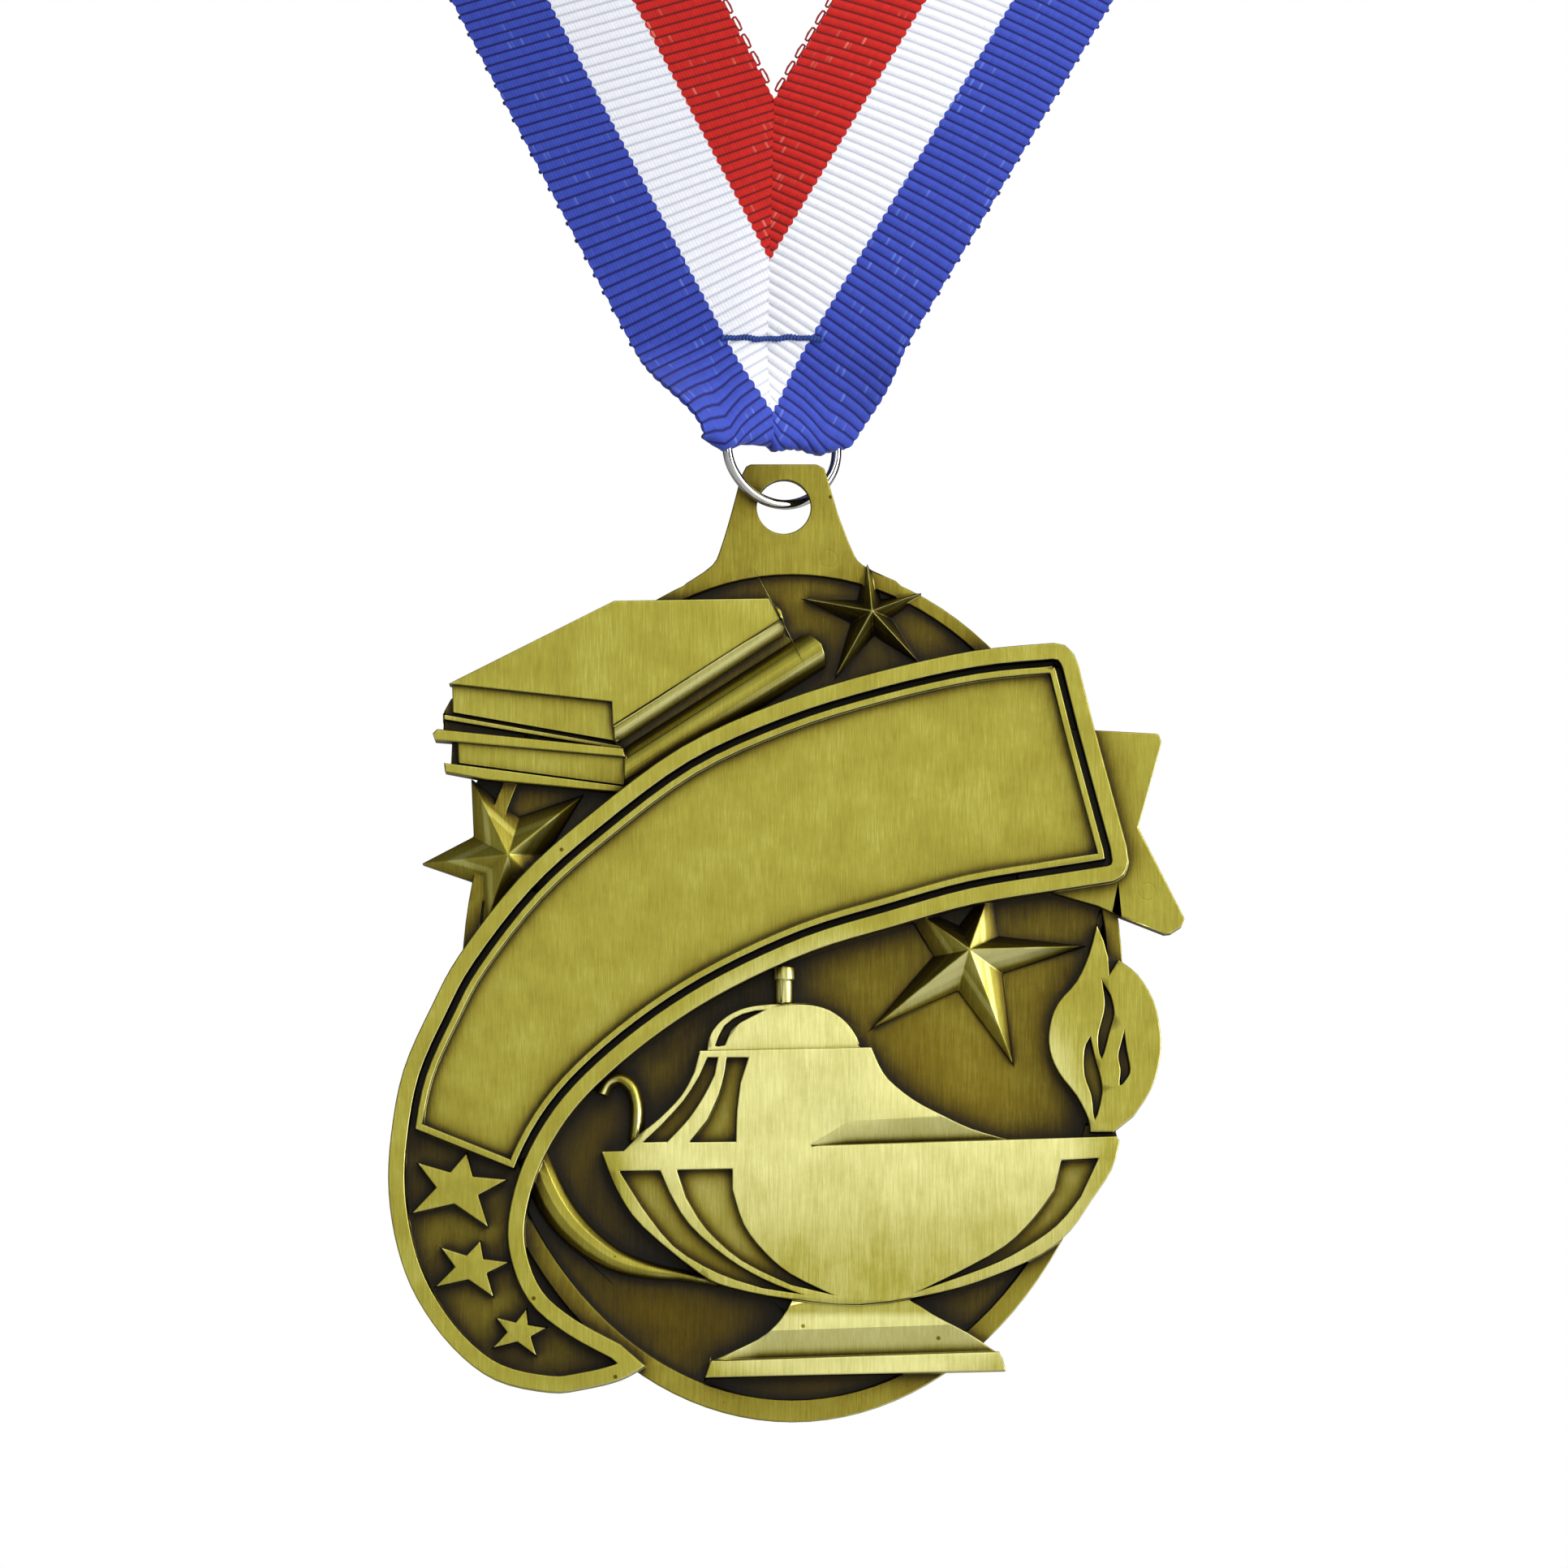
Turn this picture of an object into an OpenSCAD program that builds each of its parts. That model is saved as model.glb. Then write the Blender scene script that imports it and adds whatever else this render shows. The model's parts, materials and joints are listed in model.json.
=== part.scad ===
// Academic medallion on a striped neck ribbon
// A cast medal, with an oval plate, a banner, books, stars and an oil lamp in relief,
// hangs by the hole in its tab from a wire D-ring that the folded end of the ribbon holds.
// +Z is up and the front faces -Y. The origin is at the nape, on the inner face of the ribbon.
// Outlines of the casting are drawn about the centre of the plate, x to the right and y up,
// and heights in the casting are measured forward from its flat back. Each part of the relief
// starts at its own depth below that back, $below, and the whole is trimmed to the back at the end.

/* [Plate] */
// Width of the oval plate
plate_w = 58.7; // [58:0.1:60]
// Height of the oval plate
plate_h = 76.4; // [76:0.1:77]
// Thickness of the plate inside its rim
field_t = 1.5; // [1.2:0.1:1.8]
// Height of the rim and of the front of the tab
rim_top = 2.4; // [2.2:0.1:2.6]
// Width of the recessed field inside the rim
field_w = 56; // [55:0.1:56.4]
// Height of the recessed field inside the rim
field_h = 73.3; // [72:0.1:73.6]

/* [Tab] */
// Thickness of the tab
tab_t = 1.5; // [1.2:0.1:1.6]
// Diameter of the hole in the tab
hole_d = 4.8; // [4.7:0.05:5]

/* [Relief] */
// Height of the outer frame of the banner
banner_top = 4.6; // [4.4:0.1:5]
// Height of the brushed field of the banner
banner_field = 3.7; // [3.4:0.1:4]
// Height of the floor of the groove and of the rolled end
banner_floor = 2.5; // [2.2:0.1:2.8]
// Height of the lamp and of the three small stars
lamp_top = 4; // [3.8:0.1:4.2]
// Height of the flame and of the lid of the lamp
flame_top = 3.8; // [3.6:0.1:4]
// Height of the floor of the slots in the lamp and the flame
slot_floor = 2.8; // [2.6:0.1:3]
// Height of the flat star behind the banner
flag_top = 3.1; // [2.9:0.1:3.3]
// Height of the covers of the books
cover_top = 3.9; // [3.7:0.1:4]
// Height of the page blocks of the books
page_top = 3.3; // [3.1:0.1:3.4]
// Height of the peaks of the faceted stars
star_peak = 4; // [3.8:0.1:4.4]

/* [Ring] */
// Diameter of the wire of the ring
wire_d = 0.88; // [0.8:0.02:0.9]
// Width of the ring over its wires
ring_w = 12.74; // [12.5:0.02:13]
// Turn of the ring out of the plane of the medal
ring_turn = 35; // [33:1:40]

/* [Ribbon] */
// Width of the ribbon
ribbon_w = 21.4; // [21:0.1:22.5]
// Thickness of the ribbon
ribbon_t = 1; // [1:0.1:1.2]
// Length of the ribbon loop along its middle
ribbon_length = 813; // [800:1:830]
// Angle of each leg from the vertical where they meet
leg_angle = 29.15; // [28:0.05:30]
// Lean of the whole ribbon to one side
ribbon_lean = 1.6; // [1:0.1:2]

/* [Hidden] */

// Laps between solids, how far a low piece is sunk, and cuts that run past a face
lap = 1;
bite = 0.6;
far = 100;
step_down = 0.15;

// Places in the drawing of the casting
hole_at = [-0.75, 43.1];
bar_at = [-0.9, 49.4];
seam_top = [-1.6, 79.6];
field_up = 0.4;

// The ring hangs from its straight bar: an oval of arcs below two short straight sides
wire_r = wire_d / 2;
ring_half = ring_w / 2 - wire_r;
side_r = 4;
side_drop = 1;
corner_r = 0.8;
ring_depth = 6;
bottom_rise = ring_depth - side_drop;
bottom_shift = (pow(ring_half - side_r, 2) - pow(bottom_rise - side_r, 2)) / (2 * (bottom_rise - side_r));
bottom_r = bottom_rise + bottom_shift;
side_sweep = atan2(bottom_shift, ring_half - side_r);

// The ribbon lies on a cone whose front line is upright: a flat strip runs straight on it
cone_angle = asin((90 - leg_angle) / 180);
wrap_angle = 90 - leg_angle;
nape_reach = ribbon_length / 2 / tan(wrap_angle);
seam_reach = (nape_reach - ribbon_w / 2) / cos(wrap_angle);
tail_drop = 22;
cut_reach = seam_reach + tail_drop;
cut_turn = acos((nape_reach + ribbon_w / 2) / cut_reach) / sin(cone_angle);
strip_steps = 64;
nape_at = [0, nape_reach * sin(2 * cone_angle), -nape_reach * cos(2 * cone_angle)];
nape_face = [0, cos(2 * cone_angle), sin(2 * cone_angle)] * ribbon_t / 2;
seam_drop = -seam_reach - nape_at.z + nape_face.z;
front_y = -nape_at.y + nape_face.y;
medal_at = [seam_drop * sin(ribbon_lean) - seam_top.x, front_y, seam_drop * cos(ribbon_lean) - seam_top.y];

// Lower end of the ribbon: height above the bar, turn, middle, width, front face, back face
tail_rows = [
    [8.9, 0, -1.2, 25.1, -0.5, 0.5],
    [7.2, 3, -1.0, 23.1, -0.8, 0.8],
    [5.0, 10, -0.8, 20.4, -1.1, 1.1],
    [3.0, 20, -0.5, 17.9, -1.5, 1.2],
    [1.4, 28, -0.2, 16.3, -2.1, 1.0],
    [1.1, 29, -0.1, 15.9, -2.25, -1.25],
    [0.2, 31, 0, 15.5, -2.3, -1.3],
    [-0.9, 32, 0, 15.0, -2.2, -1.3]
];
sleeve_r = wire_r + 0.15;
sleeve_w = 10.4;

// A smooth line through the points of p, n steps to a span
function pick(p, i) = p[max(0, min(len(p) - 1, i))];
function blend(a, b, c, d, t) =
    (2 * b + (c - a) * t + (2 * a - 5 * b + 4 * c - d) * t * t + (3 * b - a - 3 * c + d) * t * t * t) / 2;
function smooth(p, n = 4) = [
    for (i = [0 : len(p) - 2]) for (k = [0 : n - 1])
        blend(pick(p, i - 1), pick(p, i), pick(p, i + 1), pick(p, i + 2), k / n),
    p[len(p) - 1]
];

// Points of an oval of width w and height h
function oval(w, h, n = 120) = [for (i = [0 : n - 1]) [w / 2 * cos(360 * i / n), h / 2 * sin(360 * i / n)]];

// A solid through closed sections that have the same number of points, with the ends joined or capped
function skin_sides(rows, n, closed) = [
    for (r = [0 : rows - (closed ? 1 : 2)]) for (k = [0 : n - 1])
        let (a = r * n + k, b = r * n + (k + 1) % n, up = (r + 1) % rows, c = up * n + (k + 1) % n, d = up * n + k)
        each [[a, b, c], [a, c, d]]
];
module skin(sections, closed = false) {
    n = len(sections[0]);
    rows = len(sections);
    ends = closed ? [] : [[for (k = [n - 1 : -1 : 0]) k], [for (k = [0 : n - 1]) (rows - 1) * n + k]];
    polyhedron([for (s = sections) each s], concat(skin_sides(rows, n, closed), ends), convexity = 8);
}

// A round bar along a line of points in the plane, with a radius at each point, sunk into the field
function heading(p, i) = let (v = pick(p, i + 1) - pick(p, i - 1)) v / norm(v);
module bar_along(p, radii, height, sides = 12) {
    sunk = height - field_t + bite / 2;
    skin([
        for (i = [0 : len(p) - 1]) let (h = heading(p, i), r = radii[i], deep = max(r, sunk)) [
            for (k = [0 : sides - 1]) let (a = 360 * k / sides)
                [p[i].x - h.y * r * cos(a), p[i].y + h.x * r * cos(a), height - deep * sin(a)]
        ]
    ]);
}

// Relief that rises from below the back of the casting, to be trimmed there, up to the height top
module raised(top, low = -$below) {
    translate([0, 0, low]) linear_extrude(top - low) children();
}

// Outline of a five-pointed star from its tips and the middle of each waist
function star_middle(tips) = (tips[0] + tips[1] + tips[2] + tips[3] + tips[4]) / 5;
function waist(tips, middle, i, pinch) = middle + pinch * ((tips[i] + tips[(i + 1) % 5]) / 2 - middle);
function star(tips, middle, pinch) = [for (i = [0 : 4]) each [tips[i], waist(tips, middle, i, pinch)]];

// A star with a ridge along each arm that climbs to a peak
module faceted_star(tips, middle, pinch, tip_top, waist_top, peak, foot) {
    edge = star(tips, middle, pinch);
    low = [for (p = edge) [p.x, p.y, foot]];
    top = [for (i = [0 : 9]) [edge[i].x, edge[i].y, i % 2 == 0 ? tip_top : waist_top]];
    sides = [for (i = [0 : 9]) let (j = (i + 1) % 10) each [[i, j + 10, i + 10], [i, j, j + 10]]];
    roof = [for (i = [0 : 9]) [i + 10, (i + 1) % 10 + 10, 20]];
    polyhedron(concat(low, top, [[middle.x, middle.y, peak]]), concat(sides, roof, [[for (i = [9 : -1 : 0]) i]]));
}

// A flat cut down from the height top: level along c, and deepest by the fall along b, to which it
// sinks from the point start
module sunk_step(start, b, c, fall, top) {
    low = [[start.x, start.y, top], [b[0].x, b[0].y, top - fall], [b[1].x, b[1].y, top - fall],
        [c[1].x, c[1].y, top], [c[0].x, c[0].y, top]];
    high = [for (p = low) [p.x, p.y, top + lap]];
    sides = [for (i = [0 : 4]) let (j = (i + 1) % 5) [i, i + 5, j + 5, j]];
    polyhedron(concat(low, high), concat([[0, 1, 4], [1, 2, 3, 4], [9, 8, 7, 6, 5]], sides));
}

// Plate, rim and tab
module field_edge() {
    translate([0, field_up]) polygon(oval(field_w, field_h));
}

module tab_edge() {
    polygon(concat(
        [[-13, 33]],
        smooth([[-9.4, 36.3], [-7.1, 37.9], [-6.3, 39.6], [-5.4, 42.6], [-4.6, 45.7]], 3),
        [[-4.1, 46.7], [-3.7, 46.9], [2.2, 46.9], [2.9, 46.5], [3.3, 45.1]],
        smooth([[4.1, 42.4], [5.3, 39.3], [6.3, 37.9], [9.2, 36.5]], 3),
        [[13, 33]]
    ));
}

module plate() {
    raised(field_t) polygon(oval(plate_w, plate_h));
    raised(rim_top) difference() {
        polygon(oval(plate_w, plate_h));
        field_edge();
    }
    raised(rim_top, rim_top - tab_t) difference() {
        tab_edge();
        field_edge();
    }
}

// Banner: a curved band whose left end rolls over into a lobe
function banner_edge() = concat(
    smooth([
        [-13, -33.3], [-15.2, -34.5], [-18.4, -35.3], [-21.5, -35.6], [-26.3, -34.5], [-30.1, -31.6],
        [-33.2, -27.3], [-34.9, -22.9], [-35.7, -17.9], [-35.5, -12.9], [-34.4, -7.1], [-31.9, -1.4],
        [-29.4, 3.2], [-24.2, 9.9], [-18, 15.5], [-9.9, 21.5], [-1.2, 25.5], [7.5, 28.2], [16.1, 30.1],
        [23.2, 30.8]
    ]),
    smooth([[24.2, 30.6], [25, 29.8], [25.4, 28.8]], 2),
    smooth([[26.8, 23.2], [28.3, 17.6], [29.6, 12.8]], 3),
    smooth([[29.8, 11.4], [29.4, 10.2], [28.4, 9.6]], 2),
    smooth([
        [23.3, 8.8], [16.1, 7.6], [8.9, 5.6], [1.7, 3.4], [-5.5, 0.1], [-11.2, -3.4], [-16.3, -7.5],
        [-19.9, -11.4], [-22.4, -15.8], [-23.6, -20.1], [-23.5, -23.3], [-22.1, -26.7], [-19.2, -29.2],
        [-15.2, -31.4]
    ])
);
frame_w = 1.45;
groove_w = 0.6;
ridge_w = 0.6;
lobe_line = [[-33.9, -12.1], [-24.2, -16]];
small_pinch = 0.5;

module above_lobe() {
    run = lobe_line[1] - lobe_line[0];
    translate(lobe_line[0]) rotate(atan2(run.y, run.x)) translate([-far / 2, 0]) square([2 * far, far]);
}

module banner_panel(inset) {
    intersection() {
        offset(delta = -frame_w - groove_w - inset) polygon(banner_edge());
        run = lobe_line[1] - lobe_line[0];
        translate([0, inset / cos(atan2(run.y, run.x))]) above_lobe();
    }
}

small_stars = [
    [[-28.8, -14.4], [-25.2, -16.8], [-26.9, -21], [-33.7, -19.8], [-33.2, -15.3]],
    [[-27.6, -22.2], [-25, -24.1], [-26.4, -27.2], [-31.6, -26.3], [-31.1, -22.8]],
    [[-23.5, -28.2], [-21.7, -29.9], [-22.6, -32.4], [-26.5, -31.7], [-26.2, -29]]
];

module banner() {
    difference() {
        raised(banner_top) polygon(banner_edge());
        raised(banner_top + lap, banner_floor) offset(delta = -frame_w) polygon(banner_edge());
    }
    difference() {
        raised(banner_top, banner_floor - bite) banner_panel(0);
        raised(banner_top + lap, banner_field) banner_panel(ridge_w);
    }
    for (tips = small_stars)
        raised(lamp_top, banner_floor - bite) polygon(star(tips, star_middle(tips), small_pinch));
}

// Large flat star half hidden by the banner
flag_round = 0.6;
module flag_star() {
    raised(flag_top) offset(r = flag_round) offset(delta = -flag_round) polygon([
        [20, 23.5], [33, 22.8], [30.7, 14.5], [35, 6], [33.3, 4.9], [29.2, 6.5], [27.1, 7.5], [20, 9.5]
    ]);
}

// Faceted stars: tips, middle, pinch of the waists, heights of the tips and of the waists
left_star = [[[-32.9, 11.3], [-28.5, 18.9], [-18.6, 17.4], [-19.9, 7], [-27.6, 4.2]], [-25.2, 12], 0.56, 2.1, 1.9];
top_star = [[[6.7, 38], [11.5, 35.4], [11.1, 29.4], [3.9, 28], [1.1, 34.9]], [7.1, 33.7], 0.4, 2.6, 1.6];
low_star = [[[17.6, 9.2], [25.9, 4], [19.6, -6.5], [7.1, -3.3], [9.6, 8.2]], [15.7, 3.6], 0.42, 2, 1.7];

module stars() {
    for (s = [left_star, top_star])
        faceted_star(s[0], s[1], s[2], s[3], s[4], star_peak, -$below);
    faceted_star(low_star[0], low_star[1], low_star[2], low_star[3], low_star[4], star_peak, field_t / 2);
}

// Books: covers and page blocks as steps, spines as round bars trimmed to their outline
upper_spine = [[-3, 36], [-1.9, 34.7], [-1, 33.8], [-0.7, 32.6], [-0.7, 31.7], [-15.8, 21.8], [-15.9, 27]];
lower_spine = [
    [-14.9, 21.5], [-0.4, 31.8], [1.7, 31.6], [2.6, 30.8], [2.95, 29.8], [2.9, 28.4], [-9.8, 21.4], [-14.9, 17.6]
];
cover_drop = 0.2;
book_steps = [
    [cover_top, [[-30.5, 27.2], [-15.8, 34.6], [-2, 34.8], [-1, 32.9], [-15.9, 23.4], [-16, 25.6]]],
    [page_top, [[-30.2, 27.3], [-15.5, 25.8], [-15.3, 22.1], [-30.1, 24.7]]],
    [page_top - lap, [
        [-30.3, 26], [-30.9, 24.9], [-31, 23], [-30.2, 22.2], [-30.3, 20], [-15, 18], [2, 30], [-0.7, 31.7], [-15, 25]
    ]],
    [page_top - cover_drop / 2, [[-30.9, 24.5], [-15.2, 21.7], [-15.2, 21.4], [-30.9, 24.1]]],
    [cover_top - cover_drop, [[-31.9, 22.8], [-31.5, 23.2], [-15, 21.5], [-14.8, 20.7], [-30.4, 22.1], [-31.7, 22.2]]],
    [page_top, [[-29.7, 22.6], [-14.9, 21], [-14.6, 18.2], [-29.6, 20.2]]],
    [cover_top - 1.5 * cover_drop, [[-30.9, 20.2], [-14.8, 18.1], [-14.8, 17.5], [-27.1, 18.7], [-30.8, 19.4]]]
];

module spine(edge, from, to, r, top) {
    run = to - from;
    intersection() {
        raised(top + lap, field_t - bite) polygon(edge);
        translate([from.x, from.y, top - r]) rotate([0, 0, atan2(run.y, run.x)]) rotate([0, 90, 0])
            translate([0, 0, -2 * lap]) cylinder(r = r, h = norm(run) + 4 * lap);
    }
}

module books() {
    for (step = book_steps) raised(step[0]) polygon(step[1]);
    spine(upper_spine, from = [-15.8, 23.6], to = [-0.9, 33.4], r = 1.7, top = cover_top);
    spine(lower_spine, from = [-14.6, 19.7], to = [1.5, 30], r = 1.75, top = cover_top - cover_drop);
}

// Oil lamp: foot, bowl, and a body with its lid, slotted
foot_top = lamp_top - 0.1;
finial_x = -0.75;
finial_h = 3;
stem_d = 1.6;
cap_d = 2;
module lamp_foot() {
    difference() {
        raised(foot_top) polygon(concat(
            smooth([[0.3, -26.9], [-1, -29.1], [-3, -30.9], [-7.3, -32.9]], 3), [[-7.3, -33.5], [18.3, -33]],
            smooth([[18.3, -32.2], [15.6, -30.4], [12.4, -28.7], [9.8, -26.9]], 3)
        ));
        sunk_step(start = [-6, -32.9], b = [[-3, -32.8], [21, -32]], c = [[-3, -30.2], [21, -29.4]],
            fall = 0.6, top = foot_top);
    }
    raised(lamp_top) polygon([[-7.2, -32.8], [18.3, -32], [18.6, -32.6], [18.9, -33.7], [-7.7, -34.3]]);
}

module lamp_bowl() {
    raised(lamp_top) polygon(concat([[-16.9, -14.3], [1.7, -13.8], [28.7, -12.95]], smooth([
        [29, -13.4], [28.3, -15.9], [26.6, -18.5], [24.7, -21.2], [22, -23.4], [17.6, -25.4], [13, -26.8],
        [6.1, -27.9], [-0.1, -27.4], [-5.3, -26.4], [-8.2, -25.1], [-13.2, -21], [-15.2, -18.3], [-16.3, -15.9]
    ], 3)));
}

module lamp_body() {
    difference() {
        raised(lamp_top) polygon(concat(
            [[-8.2, -5.4], [7, -5.1]],
            smooth([[7.6, -6.5], [8.5, -7.9], [10.7, -9.7], [13.3, -11.1], [15.9, -12.3], [19, -13.2]], 3),
            [[19, -15], [-15, -15], [-15, -14.3]],
            smooth([[-13.3, -12.6], [-11.7, -11.3], [-9.8, -9.3], [-8.7, -7.3]], 3)
        ));
        sunk_step(start = [1.2, -13.9], b = [[5, -13.8], [21, -13.3]], c = [[5, -11.6], [21, -11.1]],
            fall = 0.7, top = lamp_top);
    }
    raised(flame_top) polygon(smooth([
        [-7.6, -6], [-7.5, -5], [-7.2, -3.8], [-6.2, -2.6], [-4.6, -1.7], [-2.6, -1.3], [0, -1.2], [2.6, -1.5],
        [4.4, -2.5], [5.5, -3.8], [6, -5], [6.1, -6]
    ], 3));
    translate([finial_x, -2, finial_h]) rotate([-90, 0, 0]) {
        cylinder(d = stem_d, h = 3.2);
        translate([0, 0, 2.9]) cylinder(d = cap_d, h = 1.2);
    }
}

module lamp_slots() {
    raised(lamp_top + lap, slot_floor) {
        polygon(concat([[-15.3, -16.05], [-11.7, -16]],
            smooth([[-10.9, -17.9], [-9.1, -20.8], [-5.8, -23.7], [-2.6, -25.6], [0.6, -26.9]], 3),
            smooth([[-2.6, -26.4], [-6.5, -25.1], [-10.5, -22.7], [-13.4, -19.1]], 3)));
        polygon(concat([[-10.2, -15.95], [-5.3, -15.85]],
            smooth([[-5.3, -17.7], [-4.3, -20.8], [-2.4, -23.3], [-0.1, -25.2], [3.3, -26.9]], 3),
            smooth([[-0.1, -26.1], [-4.4, -24], [-7.6, -21.2], [-9.4, -18.4]], 3)));
        polygon(concat([[23.8, -15.1], [27.1, -14.9]],
            smooth([[25.5, -18.3], [23.4, -20.8], [20.4, -22.9], [17.2, -24.5], [11.6, -26.5]], 3),
            smooth([[14.7, -25], [18.8, -22.7], [21.4, -20.2], [23.2, -17.7]], 3)));
        polygon(concat([[-7.5, -6], [-6.6, -6]],
            smooth([[-6.9, -7.5], [-7.8, -9.3], [-9.2, -11.4], [-11.1, -13.45]], 3), [[-13.2, -13.5]],
            smooth([[-11.6, -12], [-9.6, -9.8], [-8.2, -7.6]], 3)));
        polygon(concat([[-5.8, -6], [-3.9, -6]],
            smooth([[-4.6, -8.2], [-4.9, -10.7], [-5, -13.45]], 3), [[-9.1, -13.5]],
            smooth([[-7.5, -11.5], [-6.5, -9.3], [-6, -7.4]], 3)));
        polygon(smooth([[-6.8, -4.9], [-6, -4.9], [-5.5, -3.7], [-4.4, -2.7], [-2.6, -1.8], [-4.4, -2.15],
            [-6, -3.2], [-6.8, -4.9]], 2));
    }
}

hook_r = 0.65;
hook_top = 2.5;
horn_top = 2.2;
module handles() {
    hook = smooth([[-16.9, -9.2], [-16.3, -8.1], [-15.2, -7.8], [-14.1, -8.8], [-13.7, -10.7], [-13.9, -13.4]], 3);
    bar_along(hook, [for (p = hook) hook_r], hook_top);
    horn = smooth([[-23, -14.6], [-21.2, -18.7], [-18.9, -21.6], [-15.8, -23.8], [-12.6, -24.8], [-9.8, -25.2],
        [-6.6, -25.9]], 3);
    horn_r = smooth([1.45, 1.5, 1.35, 1.05, 0.75, 0.5, 0.35], 3);
    bar_along(horn, horn_r, horn_top);
}

wick_top = 2.6;
module flame() {
    difference() {
        raised(flame_top) polygon(concat(
            smooth([[27, 5.8], [26.3, 3.2], [25.2, 0.8], [23.5, -1.2], [22.8, -3.3], [22.8, -5.3], [23.6, -7.3],
                [25.2, -9.4], [26.2, -11.4], [26.4, -12.6]], 3),
            [[28.4, -12.6]],
            smooth([[30.3, -11.1], [31.8, -8.8], [32.6, -5.9], [32.6, -3.5], [32, -0.9], [30.6, 1.4], [28.9, 2.7]], 3),
            [[28.1, 1.4]],
            smooth([[28, 2.9], [27.6, 4.4]], 2)
        ));
        raised(flame_top + lap, slot_floor) {
            polygon(smooth([[27.5, 0.7], [28.2, -0.5], [28.5, -2.1], [28.1, -3.6], [27.4, -6], [27.1, -4.2],
                [27.6, -2.1], [27.7, -0.9], [27.5, 0.7]], 3));
            polygon(smooth([[26.4, -4.2], [26.8, -6], [27.3, -7.8], [27.4, -9.3], [26.8, -11.4], [26.5, -9.3],
                [25.9, -7.5], [25.9, -5.3], [26.4, -4.2]], 3));
            polygon(smooth([[29.4, -3.8], [29.6, -5.3], [29.9, -7], [29.6, -7.8], [29, -8.4], [29.1, -7.1],
                [28.9, -5.9], [29.1, -4.9], [29.4, -3.8]], 3));
        }
    }
    raised(wick_top) polygon([[26, -11.9], [28.6, -12.2], [28.9, -13.4], [25.6, -13.4]]);
}

module lamp() {
    difference() {
        union() {
            lamp_foot();
            lamp_body();
            lamp_bowl();
        }
        lamp_slots();
    }
}

// The casting: one piece of metal with a flat back
module medallion() {
    color("darkkhaki") translate(medal_at + [0, rim_top - tab_t / 2, 0]) rotate([90, 0, 0]) difference() {
        union() {
            plate($below = lap);
            stars($below = lap + step_down);
            books($below = lap + 2 * step_down);
            banner($below = lap + 3 * step_down);
            flag_star($below = lap + 4 * step_down);
            lamp($below = lap + 5 * step_down);
            flame($below = lap + 6 * step_down);
            handles();
        }
        translate([-far, -far, -far]) cube([2 * far, 2 * far, far]);
        translate([hole_at.x, hole_at.y, -far / 2]) cylinder(d = hole_d, h = far);
    }
}

// Points of the middle of the ring's wire, across and down from the middle of its bar
function turn(middle, r, a, b, n) = [for (i = [0 : n]) middle + r * [cos(a + (b - a) * i / n), sin(a + (b - a) * i / n)]];
function ring_line() = concat(
    turn([ring_half - corner_r, -corner_r], corner_r, 90, 0, 4),
    turn([ring_half - side_r, -side_drop], side_r, 0, -side_sweep, 7),
    turn([0, bottom_shift - side_drop], bottom_r, -side_sweep - 7, side_sweep - 173, 14),
    turn([side_r - ring_half, -side_drop], side_r, side_sweep - 180, -180, 7),
    turn([corner_r - ring_half, -corner_r], corner_r, 180, 90, 4)
);

// Wire D-ring, its bar inside the fold of the ribbon
module ring() {
    p = ring_line();
    n = len(p);
    sides = 12;
    color("silver") translate(medal_at + [bar_at.x, 0, bar_at.y]) rotate([0, 0, ring_turn]) skin([
        for (i = [0 : n - 1])
            let (v = p[(i + 1) % n] - p[(i + n - 1) % n], h = v / norm(v)) [
                for (k = [0 : sides - 1]) let (a = 360 * k / sides)
                    [p[i].x - h.y * wire_r * cos(a), wire_r * sin(a), p[i].y + h.x * wire_r * cos(a)]
            ]
    ], closed = true);
}

// A point of the ribbon on the cone: reach from the tip, turn from the nape, height over the surface
function on_cone(reach, turn, over) =
    let (out = [sin(turn) * cos(cone_angle), cos(turn) * cos(cone_angle), sin(cone_angle)],
        p = [sin(turn) * sin(cone_angle), cos(turn) * sin(cone_angle), -cos(cone_angle)] * reach + out * over)
    [p.x, p.y * cos(cone_angle) - p.z * sin(cone_angle), p.y * sin(cone_angle) + p.z * cos(cone_angle)];

function strip_section(turn) =
    let (bend_in = cos(turn * sin(cone_angle)),
        inner = (nape_reach - ribbon_w / 2) / bend_in,
        outer = min(cut_reach, (nape_reach + ribbon_w / 2) / bend_in),
        half = ribbon_t / 2)
    [on_cone(inner, turn, half), on_cone(outer, turn, half), on_cone(outer, turn, -half), on_cone(inner, turn, -half)];

function tail_section(row) =
    let (turn = row[1], half = row[3] / 2)
    [for (c = [[-half, row[4]], [half, row[4]], [half, row[5]], [-half, row[5]]])
        [row[2] + c.x * cos(turn) - c.y * sin(turn), c.x * sin(turn) + c.y * cos(turn), row[0]]];

// Neck ribbon: one loop that meets itself in a V, with its end folded round the bar of the ring
module ribbon() {
    turns = concat([for (i = [0 : strip_steps]) cut_turn * (2 * i / strip_steps - 1)], [180]);
    color("royalblue") union() {
        rotate([0, ribbon_lean, 0]) translate(nape_face - nape_at)
            skin([for (t = turns) strip_section(t)], closed = true);
        translate(medal_at + [bar_at.x, 0, bar_at.y]) {
            skin([for (r = tail_rows) tail_section(r)]);
            rotate([0, 0, ring_turn]) rotate([0, 90, 0]) difference() {
                cylinder(r = sleeve_r + ribbon_t, h = sleeve_w, center = true);
                cylinder(r = sleeve_r, h = sleeve_w + lap, center = true);
            }
        }
    }
}

medallion();
ring();
ribbon();
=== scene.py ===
"""Academic medallion on a striped neck ribbon: the finish of every piece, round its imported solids."""
import json
import math

import bmesh
import bpy
from mathutils import Matrix, Vector


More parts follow.
